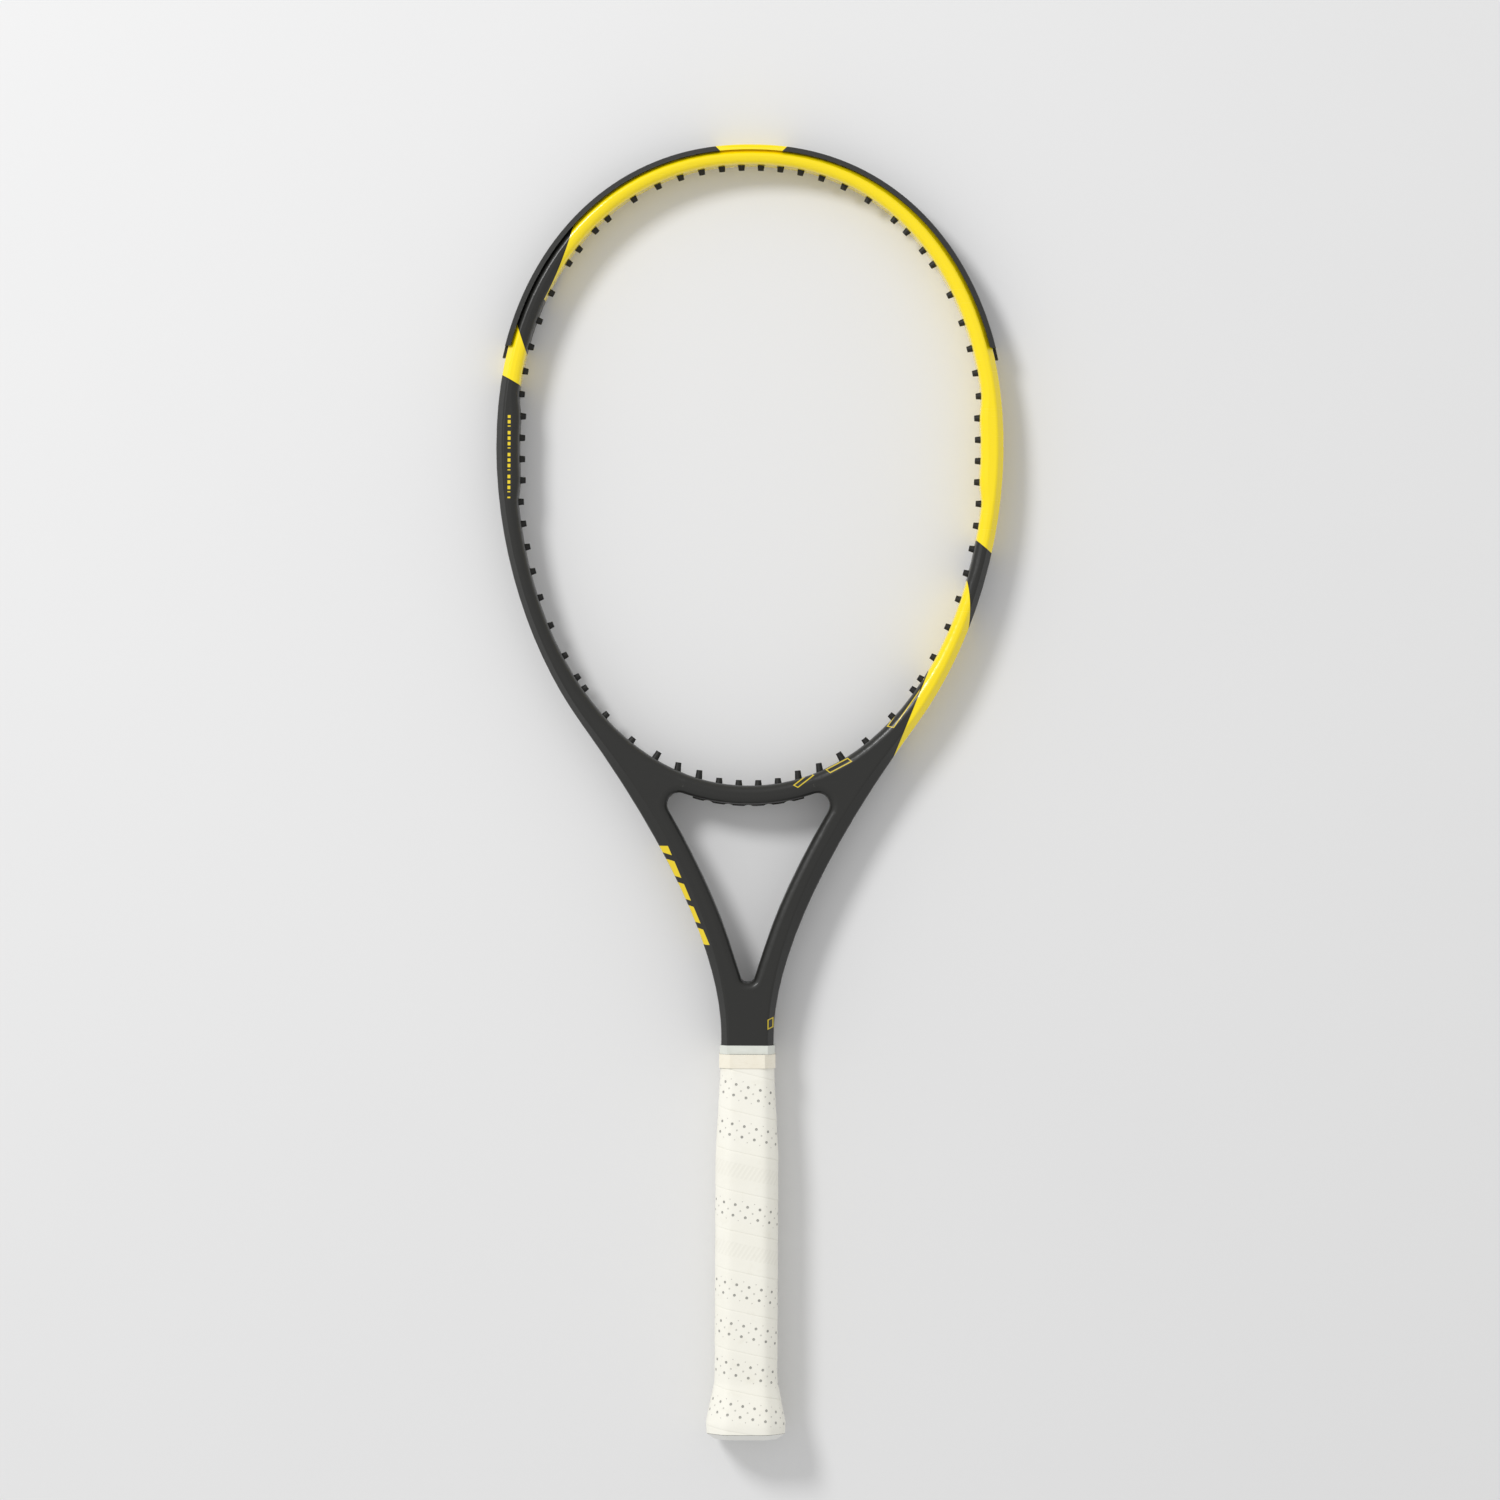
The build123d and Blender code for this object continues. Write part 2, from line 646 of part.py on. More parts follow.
# ---------------------------------------------------------------- handle
def octagon(half_width, half_depth, cut_x, cut_z, grow):
    """The corners of an eight-sided outline, moved out square to every side."""
    slope = math.hypot(cut_x, cut_z)
    swell = 1 + grow * (cut_x + cut_z - slope) / (cut_x * cut_z)
    x, z = half_width + grow, half_depth + grow
    inner_x, inner_z = x - cut_x * swell, z - cut_z * swell
    upper = [(x, -inner_z), (x, inner_z), (inner_x, z), (-inner_x, z)]
    return upper + [(-px, -pz) for px, pz in upper]


def pallet_block(stations, grow):
    """A block with the pallet's eight sides, through stations: y and stand."""
    with BuildPart() as block:
        for y, stand in stations:
            size = PALLET_HALF_WIDTH, PALLET_HALF_DEPTH, PALLET_CORNER, PALLET_CORNER
            with BuildSketch(Plane.XZ.offset(-y)):
                with BuildLine():
                    Polyline(*octagon(*size, stand + grow), close=True)
                make_face()
        loft(ruled=True)
    return block.part


def neck_block(low, high, grow):
    """A block with the neck's section between two stations."""
    with BuildPart() as block:
        size = NECK_HALF_WIDTH, HALF_HEIGHT, RIM_BEVEL, RIM_BEVEL_DEPTH
        with BuildSketch(Plane.XZ.offset(-high)):
            with BuildLine():
                Polyline(*octagon(*size, grow), close=True)
            make_face()
        extrude(amount=high - low)
    return block.part


def flare_at(y):
    """How far the butt cap stands out from the pallet at a station."""
    return CAP_FLARE * (CAP_TOP - y) / (CAP_TOP - CAP_FLARE_Y)


BODY_STATIONS = ((CAP_TOP, 0), (PALLET_SLIM_Y, 0), (HANDLE_TOP, -PALLET_SLIM))
END_STATIONS = ((PALLET_END, -CAP_WALL), (CAP_TOP, -CAP_WALL))
FLARE_STATIONS = ((CAP_LIP_Y, CAP_FLARE - 0.3), (CAP_FLARE_Y, CAP_FLARE), (CAP_TOP, 0))
LIP_STATIONS = ((0, CAP_FLARE + CAP_LIP - CAP_CHAMFER), (CAP_LIP_Y, CAP_FLARE + CAP_LIP))


def staples(grow):
    """The two wire staples through the wide faces of the butt cap."""
    with BuildPart() as pair:
        wire = STAPLE_WIRE + 2 * grow
        crown = PALLET_HALF_DEPTH + flare_at(STAPLE_Y)
        tip = SHANK_HALF_DEPTH + NAIL_TIP - grow
        for facing in 1, -1:
            with Locations((0, STAPLE_Y, facing * crown)):
                Box(STAPLE_CROWN + 2 * grow, wire, wire)
            place = (STAPLE_CROWN - STAPLE_WIRE) / 2
            with Locations(*[(x, STAPLE_Y, facing * (crown + tip) / 2) for x in (place, -place)]):
                Box(wire, wire, crown - tip)
    return pair.part


def tack(grow):
    """The small nail through the start of the grip."""
    seat = PALLET_HALF_WIDTH + flare_at(TACK_Y)
    tip = SHANK_HALF_WIDTH + NAIL_TIP - grow
    with BuildPart() as nail:
        with BuildSketch(Plane.YZ.offset(tip)):
            with Locations((TACK_Y, 0)):
                Circle(TACK_RADIUS + grow)
        extrude(amount=seat - tip)
        with BuildSketch(Plane.YZ.offset(seat - grow)):
            with Locations((TACK_Y, 0)):
                Circle(TACK_HEAD_RADIUS + grow)
        extrude(amount=TACK_HEAD + 2 * grow)
    return nail.part


with BuildPart() as handle_pallet:
    add(pallet_block(BODY_STATIONS, 0))
    add(pallet_block(END_STATIONS, 0))
    with BuildSketch(Plane.XZ.offset(-HANDLE_TOP)):
        size = 2 * (SHANK_HALF_WIDTH + FIT_GAP), 2 * (SHANK_HALF_DEPTH + FIT_GAP)
        RectangleRounded(*size, SHANK_ROUND + FIT_GAP)
    extrude(amount=HANDLE_TOP, mode=Mode.SUBTRACT)
    add(staples(NAIL_GAP), mode=Mode.SUBTRACT)
    add(tack(NAIL_GAP), mode=Mode.SUBTRACT)

with BuildPart() as butt_cap:
    add(pallet_block(FLARE_STATIONS, 0))
    add(pallet_block(LIP_STATIONS, 0))
    floor = PALLET_END - FIT_GAP
    add(pallet_block(((floor, -CAP_WALL), (CAP_TOP, -CAP_WALL)), FIT_GAP), mode=Mode.SUBTRACT)
    with BuildSketch(Plane.XZ):
        Circle(DOOR_RADIUS + DOOR_GAP)
    extrude(amount=-DOOR_THICKNESS - FIT_GAP, mode=Mode.SUBTRACT)
    with BuildSketch(Plane.XZ):
        Circle(DOOR_RADIUS - DOOR_LEDGE)
    extrude(amount=-PALLET_END, mode=Mode.SUBTRACT)
    add(staples(NAIL_GAP), mode=Mode.SUBTRACT)
    add(tack(NAIL_GAP), mode=Mode.SUBTRACT)

with BuildPart() as butt_cap_door:
    with BuildSketch(Plane.XZ):
        Circle(DOOR_RADIUS)
    extrude(amount=-DOOR_THICKNESS)
    with BuildSketch(Plane.XZ.offset(-DOOR_THICKNESS)):
        clip = DOOR_RADIUS - DOOR_LEDGE - DOOR_GAP
        Circle(clip)
        Circle(clip - CLIP_THICKNESS, mode=Mode.SUBTRACT)
        Rectangle(2 * DOOR_RADIUS, CLIP_WIDTH, mode=Mode.INTERSECT)
    extrude(amount=-CLIP_LENGTH)

with BuildPart() as butt_cap_staples:
    add(staples(0))

with BuildPart() as grip_start_tack:
    add(tack(0))

with BuildPart() as base_grip:
    under_tape = -TAPE_THICKNESS - WRAP_GAP
    add(
        pallet_block(
            (
                (GRIP_END, CAP_FLARE - 0.3 + GRIP_THICKNESS),
                (CAP_FLARE_Y, CAP_FLARE + GRIP_THICKNESS),
                (CAP_TOP, GRIP_THICKNESS),
                (PALLET_SLIM_Y, GRIP_THICKNESS),
                (GRIP_SLIM_Y, under_tape),
                (TAPE_TOP, under_tape),
            ),
            0,
        )
    )
    add(pallet_block(BODY_STATIONS, WRAP_GAP), mode=Mode.SUBTRACT)
    add(pallet_block(FLARE_STATIONS, WRAP_GAP), mode=Mode.SUBTRACT)
    add(staples(NAIL_GAP), mode=Mode.SUBTRACT)
    add(tack(NAIL_GAP), mode=Mode.SUBTRACT)

with BuildPart() as finishing_tape:
    add(pallet_block(((TAPE_BOTTOM, 0), (TAPE_TOP, 0)), 0))
    under = -TAPE_THICKNESS
    add(pallet_block(((TAPE_BOTTOM - 1, under), (TAPE_TOP + 1, under)), 0), mode=Mode.SUBTRACT)

with BuildPart() as grip_collar:
    add(neck_block(COLLAR_BOTTOM, COLLAR_TOP, WRAP_GAP + COLLAR_THICKNESS))
    add(neck_block(COLLAR_BOTTOM - 1, COLLAR_TOP + 1, WRAP_GAP), mode=Mode.SUBTRACT)

# ---------------------------------------------------------------- one file per piece
pieces = {
    "frame_tube": frame_tube,
    "throat_bridge": throat_bridge,
    "bumper_guard": bumper_guard,
    "grommet_strip_left": grommet_strip_left,
    "grommet_strip_right": grommet_strip_right,
    "grommet_strip_throat": grommet_strip_throat,
    "handle_pallet": handle_pallet,
    "butt_cap": butt_cap,
    "butt_cap_door": butt_cap_door,
    "butt_cap_staples": butt_cap_staples,
    "base_grip": base_grip,
    "grip_start_tack": grip_start_tack,
    "finishing_tape": finishing_tape,
    "grip_collar": grip_collar,
}
for name, piece in pieces.items():
    piece.part.label = name
    export_step(piece.part, f"parts/{name}.step")
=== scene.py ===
import math

import bmesh
import bpy
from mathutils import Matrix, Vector


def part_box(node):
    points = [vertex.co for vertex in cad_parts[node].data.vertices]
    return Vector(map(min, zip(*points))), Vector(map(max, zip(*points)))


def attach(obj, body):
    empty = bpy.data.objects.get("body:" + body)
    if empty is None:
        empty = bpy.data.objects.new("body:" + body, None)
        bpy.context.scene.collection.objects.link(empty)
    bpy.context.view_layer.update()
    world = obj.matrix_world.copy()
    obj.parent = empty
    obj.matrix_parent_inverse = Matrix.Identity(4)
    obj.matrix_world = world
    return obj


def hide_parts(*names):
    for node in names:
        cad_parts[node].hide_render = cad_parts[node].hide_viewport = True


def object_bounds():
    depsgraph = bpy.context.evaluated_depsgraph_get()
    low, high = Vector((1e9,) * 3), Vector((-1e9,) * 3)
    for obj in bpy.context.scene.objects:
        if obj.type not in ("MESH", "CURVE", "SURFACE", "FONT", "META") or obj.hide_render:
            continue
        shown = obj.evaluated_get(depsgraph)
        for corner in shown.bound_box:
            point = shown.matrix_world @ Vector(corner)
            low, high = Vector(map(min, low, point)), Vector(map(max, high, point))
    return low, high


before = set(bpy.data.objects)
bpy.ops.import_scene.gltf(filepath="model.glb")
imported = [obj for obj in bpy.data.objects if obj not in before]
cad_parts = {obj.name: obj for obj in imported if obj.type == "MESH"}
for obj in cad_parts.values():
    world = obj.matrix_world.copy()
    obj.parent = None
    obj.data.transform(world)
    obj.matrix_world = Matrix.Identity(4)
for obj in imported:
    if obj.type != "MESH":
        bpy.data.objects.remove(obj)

bl_info = {
    "name": "Unstrung Tennis Racket",
    "version": (1, 0, 0),
    "blender": (4, 5, 0),
    "location": "View3D > Sidebar > Racket",
    "description": "Paints the hoop and winds the grip of an unstrung tennis racket",
    "category": "Object",
}

bpy.context.view_layer.update()
CAD_BOX = [list(corner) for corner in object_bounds()]
GRIP_LOW, GRIP_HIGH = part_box("base_grip")
PALLET_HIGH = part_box("handle_pallet")[1]
CAP_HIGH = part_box("butt_cap")[1]
TAPE_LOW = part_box("finishing_tape")[0]

MM = 1000.0  # millimetres in a metre, the unit that patterns are laid out in

# the bare handle under the grip
FLARE_Y = 0.008  # widest station of the butt
SLIM_LENGTH = 0.057  # the stretch at the top over which the handle gets slimmer
SLIM_END = 0.014  # from the end of that stretch to the pallet's top
SLIM_DEPTH = 0.0023
CORNER_CUT = 0.0056  # how much each corner of the octagon is cut back
CUSHION = 0.0019  # thickness that the grip is packed at
HANDLE_GIRTH = 100.0  # length of one turn of the ribbon, in millimetres


# ------------------------------------------------------------------ finishes
class Signal:
    """A shader socket that takes part in arithmetic."""

    def __init__(self, finish, socket):
        self.finish = finish
        self.socket = socket

    def math(self, operation, *values):
        return self.finish.node("ShaderNodeMath", {"operation": operation}, dict(enumerate(values)))

    def __add__(self, other):
        return self.math("ADD", self, other)

    __radd__ = __add__

    def __sub__(self, other):
        return self.math("SUBTRACT", self, other)

    def __rsub__(self, other):
        return self.math("SUBTRACT", other, self)

    def __mul__(self, other):
        return self.math("MULTIPLY", self, other)

    __rmul__ = __mul__

    def __truediv__(self, other):
        return self.math("DIVIDE", self, other)

    def __abs__(self):
        return self.math("ABSOLUTE", self)

    def least(self, other):
        return self.math("MINIMUM", self, other)

    def most(self, other):
        return self.math("MAXIMUM", self, other)

    def root(self):
        return self.math("SQRT", self)

    def share_of(self, step):
        """Where the value stands between two whole steps, from 0 to 1."""
        return self.math("FRACT", self / step)

    def rise(self, low, high):
        """0 below low and 1 above high, with a soft step between; high may be the lower one."""
        settings = {"interpolation_type": "SMOOTHSTEP"}
        inputs = {"Value": self, "From Min": low, "From Max": high}
        return self.finish.node("ShaderNodeMapRange", settings, inputs)


class Finish:
    """A material that is put together from expressions."""

    def __init__(self, name):
        self.material = bpy.data.materials.new(name)
        self.material.use_nodes = True
        self.tree = self.material.node_tree
        self.shader = self.tree.nodes["Principled BSDF"]
        place = self.tree.nodes.new("ShaderNodeTexCoord")
        self.place = Signal(self, place.outputs["Object"])

    def node(self, kind, settings=None, inputs=None, output=0):
        """Adds a node, sets it up, feeds its sockets and gives one of its outputs."""
        made = self.tree.nodes.new(kind)
        for name, value in (settings or {}).items():
            setattr(made, name, value)
        for name, value in (inputs or {}).items():
            self.feed(made.inputs[name], value)
        return Signal(self, made.outputs[output])

    def feed(self, socket, value):
        if isinstance(value, Signal):
            self.tree.links.new(value.socket, socket)
        elif isinstance(value, tuple) and len(value) == 3 and socket.type == "RGBA":
            socket.default_value = (*value, 1.0)
        else:
            socket.default_value = value

    def set(self, **values):
        """Feeds the shader's own sockets; Base_Color stands for Base Color."""
        for name, value in values.items():
            self.feed(self.shader.inputs[name.replace("_", " ")], value)

    def axes(self):
        """The place on the object along X, Y and Z, in millimetres."""
        inputs = {0: self.place, "Scale": MM}
        return self.split(self.node("ShaderNodeVectorMath", {"operation": "SCALE"}, inputs))

    def split(self, vector):
        """The three numbers of a vector."""
        made = self.tree.nodes.new("ShaderNodeSeparateXYZ")
        self.feed(made.inputs[0], vector)
        return [Signal(self, output) for output in made.outputs]

    def noise(self, scale, detail=3.0, roughness=0.55):
        inputs = {"Vector": self.place, "Scale": scale, "Detail": detail, "Roughness": roughness}
        return self.node("ShaderNodeTexNoise", {}, inputs)

    def streaks(self, across, detail):
        """Noise drawn out into streaks; across gives its fineness along X, Y and Z."""
        drawn = self.node("ShaderNodeMapping", {}, {"Vector": self.place, "Scale": across})
        return self.node("ShaderNodeTexNoise", {}, {"Vector": drawn, "Scale": 1.0, "Detail": detail})

    def mix(self, factor, first, second):
        """Blends two colours."""
        inputs = {0: factor, 6: first, 7: second}
        return self.node("ShaderNodeMix", {"data_type": "RGBA"}, inputs, output=2)

    def bump(self, height, strength, distance, under=None):
        inputs = {"Height": height, "Strength": strength, "Distance": distance}
        if under is not None:
            inputs["Normal"] = under
        return self.node("ShaderNodeBump", {}, inputs)

    def edge_wear(self, radius):
        """1 on sharp outer edges and 0 elsewhere."""
        rounded = self.node("ShaderNodeBevel", {"samples": 4}, {"Radius": radius})
        facing = self.node("ShaderNodeNewGeometry", output="Normal")
        settings = {"operation": "DOT_PRODUCT"}
        return self.node("ShaderNodeVectorMath", settings, {0: rounded, 1: facing}, "Value").rise(0.98, 0.8)


def srgb(red, green, blue):
    """A screen colour from 0 to 255 as the linear one that shaders take."""
    return tuple(
        (c / 255 / 12.92 if c <= 10 else ((c / 255 + 0.055) / 1.055) ** 2.4) for c in (red, green, blue)
    )


# ------------------------------------------------------------------ settings
def colour(name, description, default):
    return bpy.props.FloatVectorProperty(
        name=name, description=description, default=default, subtype="COLOR", min=0.0, max=1.0
    )


class RacketFinishSettings(bpy.types.PropertyGroup):
    charcoal: colour("Charcoal", "Satin ground colour of the frame", srgb(38, 38, 36))
    yellow: colour("Yellow", "Gloss colour of the painted panels", srgb(255, 228, 0))
    nylon: colour("Nylon", "Bumper guard and grommet strips", srgb(35, 35, 33))
    cap: colour("Butt cap", "Butt cap and its door", srgb(242, 242, 238))
    cream: colour("Grip", "Cushion ribbon of the grip", srgb(250, 248, 238))
    tape: colour("Tape", "Finishing tape at the top of the grip", srgb(248, 243, 228))
    line_width: bpy.props.FloatProperty(
        name="Panel line",
        description="Width in millimetres of the black line round each yellow panel",
        default=0.55,
        min=0.0,
        max=3.0,
    )


class RacketGripSettings(bpy.types.PropertyGroup):
    pitch: bpy.props.FloatProperty(
        name="Pitch", description="Rise of the ribbon in one turn", default=0.0211, unit="LENGTH"
    )
    overlap: bpy.props.FloatProperty(
        name="Overlap", description="How far a turn lies over the one below", default=0.0036, unit="LENGTH"
    )
    thickness: bpy.props.FloatProperty(
        name="Thickness", description="Thickness of the ribbon", default=0.0018, unit="LENGTH"
    )
    step: bpy.props.FloatProperty(
        name="Edge step",
        description="How far an edge stands above the turn below",
        default=0.00006,
        unit="LENGTH",
    )
    seam_height: bpy.props.FloatProperty(
        name="Seam height",
        description="Height on the front of one of the ribbon's lower edges",
        default=0.0460,
        unit="LENGTH",
    )
    hole_pitch: bpy.props.FloatProperty(
        name="Hole pitch", description="Between two holes of a row", default=0.0067, unit="LENGTH"
    )
    row_gap: bpy.props.FloatProperty(
        name="Row gap", description="Between the two rows of holes", default=0.0058, unit="LENGTH"
    )
    hole_radius: bpy.props.FloatProperty(
        name="Hole radius", description="Radius of the large holes", default=0.00068, unit="LENGTH"
    )


class RacketStageSettings(bpy.types.PropertyGroup):
    camera_height: bpy.props.FloatProperty(
        name="Camera height", description="Height of the camera above the strings", default=3.0, unit="LENGTH"
    )
    view_size: bpy.props.FloatProperty(
        name="View size", description="Width of what the camera sees", default=0.7974, unit="LENGTH"
    )
    view_middle: bpy.props.FloatVectorProperty(
        name="View middle",
        description="Point of the racket under the camera",
        default=(0.0007, 0.3652),
        size=2,
        unit="LENGTH",
    )
    roll: bpy.props.FloatProperty(
        name="Roll", description="Turn of the camera about its own axis", default=0.0044, subtype="ANGLE"
    )
    key_power: bpy.props.FloatProperty(
        name="Key light", description="Power of the main soft light", default=44.0, unit="POWER"
    )
    sky: bpy.props.FloatProperty(
        name="Sky", description="Strength of the even light from all round", default=0.66, min=0.0
    )


# ------------------------------------------------------------------ paint
# Straight edges of the yellow panels: a point on each, in millimetres, and its slope.
RIGHT_END = (120.1, 476.9, -0.82)
PATCH_INNER = (-123.9, 590.6, 2.02)
PATCH_OUTER = (-123.9, 590.6, -2.98)
PATCH_FOOT = (-132.4, 564.0, -0.574)
WEDGE_TOP = (103.1, 427.4, 2.5)

# The curved ends: the left one leans in and bends back, the wedge bends in round the hoop.
LEFT_END = (-109.0, 604.5)
LEFT_FOOT_Y = 603.5
LEFT_CLIMB = 44.6
LEFT_LEAN = 23.0
LEFT_BEND = 6.5
LEFT_SLANT = 1.12  # length of the left end against its width
WEDGE_SIDE_X = 117.0
WEDGE_MIDDLE_Y = 440.0
WEDGE_LOW_Y = 415.0
WEDGE_BEND = 0.007

PANEL_SOFT = 0.12  # half width of the blur along a painted edge, in millimetres


def above(x, y, line):
    """How far above a sloping line a place lies, in millimetres."""
    across, up, slope = line
    return (y - up - slope * (x - across)) / math.hypot(1.0, slope)


def panel_depth(x, y):
    """How far, in millimetres, a place lies inside the nearest yellow panel."""
    right = above(x, y, RIGHT_END).least(x)
    climb = (y - LEFT_END[1]) / LEFT_CLIMB
    lean = x - LEFT_END[0] - LEFT_LEAN * climb + LEFT_BEND * climb * climb
    left = (lean / LEFT_SLANT).least(y - LEFT_FOOT_Y)
    sides = above(x, y, PATCH_INNER).most(above(x, y, PATCH_OUTER))
    patch = (0.0 - sides).least(above(x, y, PATCH_FOOT))
    bend = y.most(WEDGE_LOW_Y) - WEDGE_MIDDLE_Y
    wedge = (0.0 - above(x, y, WEDGE_TOP)).least(WEDGE_SIDE_X - WEDGE_BEND * (bend * bend) - x)
    return right.most(left).most(patch).most(wedge)


def paint_finish(settings):
    """Satin charcoal with gloss yellow panels, a black line round each and clear coat over all."""
    finish = Finish("frame_paint_panels")
    x, y, z = finish.axes()
    depth = panel_depth(x, y)
    panel = depth.rise(-PANEL_SOFT, PANEL_SOFT)
    line = (depth + settings.line_width).rise(-PANEL_SOFT, PANEL_SOFT) * (1.0 - panel)
    mottle = finish.noise(38.0, 4.0)
    flake = finish.noise(2600.0, 2.0, 0.7)
    charcoal = finish.mix(mottle * 0.5, tuple(settings.charcoal), tuple(c * 0.86 for c in settings.charcoal))
    charcoal = finish.mix(flake.rise(0.62, 0.74) * 0.14, charcoal, srgb(104, 104, 100))
    yellow = finish.mix(mottle * 0.45, tuple(settings.yellow), srgb(251, 221, 4))
    marks = paint_marks(x, y, z) * (1.0 - panel)
    ground = finish.mix(marks, charcoal, srgb(236, 208, 40))
    ground = finish.mix(line, ground, srgb(24, 24, 22))
    ground = finish.mix(panel, ground, yellow)
    wear = finish.edge_wear(0.0006) * finish.noise(420.0, 4.0).rise(0.55, 0.7)
    scuffs = finish.streaks((30.0, 700.0, 90.0), 5.0)
    worn = finish.mix(wear * 0.35, ground, srgb(150, 148, 140))
    dust = finish.noise(7.0, 5.0).rise(0.45, 0.75)
    rough = 0.36 - 0.13 * panel + 0.10 * scuffs.rise(0.55, 0.75) + 0.05 * dust
    peel = finish.bump(finish.noise(520.0, 2.0), 0.12, 0.0004)
    lip = finish.bump(panel + line * 0.5, 0.35, 0.00006, peel)
    finish.set(Base_Color=worn, Roughness=rough, Normal=lip, Coat_Weight=0.12 + 0.38 * panel)
    finish.shader.inputs["Coat Roughness"].default_value = 0.12
    finish.shader.inputs["Specular IOR Level"].default_value = 0.35
    return finish.material


def frame_mark(x, y, middle, lean, half_length, half_width):
    """How far outside a leaning bar a place lies, in millimetres; negative inside."""
    turn = math.radians(lean)
    right, up = x - middle[0], y - middle[1]
    along = right * math.cos(turn) + up * math.sin(turn)
    across = up * math.cos(turn) - right * math.sin(turn)
    return (abs(along + 0.45 * across) - half_length).most(abs(across) - half_width)


# Plain marks on the charcoal, in millimetres: a row of dashes on the left of the hoop ...
DASH_X = -127.6
DASH_Y = 520.0
DASH_ROW = 22.0  # half length of the row
DASH_WIDTH = 0.75
DASH_PITCH = 2.9
DASH_GROUP = 11.6

# ... a row of slanted blocks along the left shaft ...
SHAFT_EDGE = (-48.7, 314.0, -0.426)  # a point on the shaft's outer edge, and how it leans
BLOCK_IN = 3.7  # from that edge to the middle of the row
BLOCK_Y = 288.0
BLOCK_ROW = 26.2
BLOCK_WIDTH = 2.5
BLOCK_PITCH = 10.5

# ... and outlined bars: the middle, the lean in degrees, half the length and half the width.
OUTLINED_BARS = (
    ((29.2, 349.3), 38, 5.2, 1.1),
    ((47.8, 357.2), 28, 6.4, 1.2),
    ((84.0, 390.5), 55, 15.5, 1.5),
    ((12.2, 220.4), 90, 2.4, 1.3),
)
BAR_LINE = 0.28


def paint_marks(x, y, z):
    """Plain blocks, dashes and pinstripe bars on the charcoal; they spell nothing."""
    face = abs(z).rise(6.0, 6.6)
    dashes = (DASH_WIDTH - abs(x - DASH_X)).rise(-0.1, 0.1) * (DASH_ROW - abs(y - DASH_Y)).rise(-0.1, 0.1)
    dashes = dashes * y.share_of(DASH_PITCH).rise(0.34, 0.40)
    dashes = dashes * (y.share_of(DASH_GROUP) - 0.2).rise(-0.02, 0.02)
    edge = x - SHAFT_EDGE[0] - SHAFT_EDGE[2] * (y - SHAFT_EDGE[1])
    blocks = (BLOCK_WIDTH - abs(edge - BLOCK_IN)).rise(-0.1, 0.1)
    blocks = blocks * (BLOCK_ROW - abs(y - BLOCK_Y)).rise(-0.1, 0.1)
    blocks = blocks * (y - 0.3 + 0.3 * x).share_of(BLOCK_PITCH).rise(0.26, 0.28)
    marks = dashes.most(blocks)
    for bar in OUTLINED_BARS:
        marks = marks.most((BAR_LINE - abs(frame_mark(x, y, *bar))).rise(-0.08, 0.08) * 0.8)
    return marks * face


# ------------------------------------------------------------------ other finishes
TIP_BAND = 20.0  # half length of the painted stretch of the bumper at the tip, in millimetres
GUTTER_HALF = 3.2  # half width of the strings' gutter, which keeps the nylon's colour


def nylon_finish(settings, name, tip_band):
    """Matt dark nylon with a fine moulded grain; tip_band says whether the tip has its painted stretch."""
    finish = Finish(name)
    x, y, z = finish.axes()
    mottle = finish.noise(90.0, 4.0)
    base = finish.mix(mottle, tuple(c * 0.8 for c in settings.nylon), tuple(c * 1.25 for c in settings.nylon))
    wear = finish.edge_wear(0.0004) * finish.noise(600.0, 3.0).rise(0.45, 0.65)
    base = finish.mix(wear * 0.5, base, srgb(110, 110, 106))
    rough = 0.46 + 0.14 * mottle
    if tip_band:
        below_tip = y - CAD_BOX[1][1] * MM
        painted = (TIP_BAND - abs(x) + 0.9 * below_tip).rise(-0.15, 0.15)
        painted = painted * abs(z).rise(GUTTER_HALF - 0.1, GUTTER_HALF + 0.1)
        base = finish.mix(painted, base, tuple(settings.yellow))
        rough = rough - 0.2 * painted
    grain = finish.bump(finish.noise(3200.0, 2.0), 0.25, 0.00008)
    finish.set(Base_Color=base, Roughness=rough, Normal=grain)
    finish.shader.inputs["Specular IOR Level"].default_value = 0.35
    return finish.material


def cap_finish(settings):
    """Glossy moulded plastic, a little yellowed and scuffed on the rim."""
    finish = Finish("butt_cap_gloss")
    mottle = finish.noise(60.0, 3.0)
    base = finish.mix(mottle * 0.6, tuple(settings.cap), srgb(232, 231, 222))
    wear = finish.edge_wear(0.0008) * finish.noise(500.0, 4.0).rise(0.5, 0.7)
    worn = finish.mix(wear * 0.4, base, srgb(196, 194, 186))
    scratches = finish.streaks((900.0, 60.0, 900.0), 4.0)
    finish.set(
        Base_Color=worn,
        Roughness=0.18 + 0.18 * scratches.rise(0.55, 0.8),
        Normal=finish.bump(finish.noise(700.0, 2.0), 0.08, 0.0002),
    )
    return finish.material


def tape_finish(settings):
    """Creamy adhesive tape with a fine crepe texture."""
    finish = Finish("finishing_tape_crepe")
    ribs = finish.streaks((500.0, 1800.0, 500.0), 3.0)
    mottle = finish.noise(160.0, 4.0)
    base = finish.mix(mottle, tuple(settings.tape), srgb(240, 233, 213))
    ribbed = finish.mix(ribs.rise(0.5, 0.72) * 0.22, base, srgb(226, 217, 195))
    finish.set(Base_Color=ribbed, Roughness=0.5 + 0.15 * mottle, Normal=finish.bump(ribs, 0.3, 0.00012))
    return finish.material


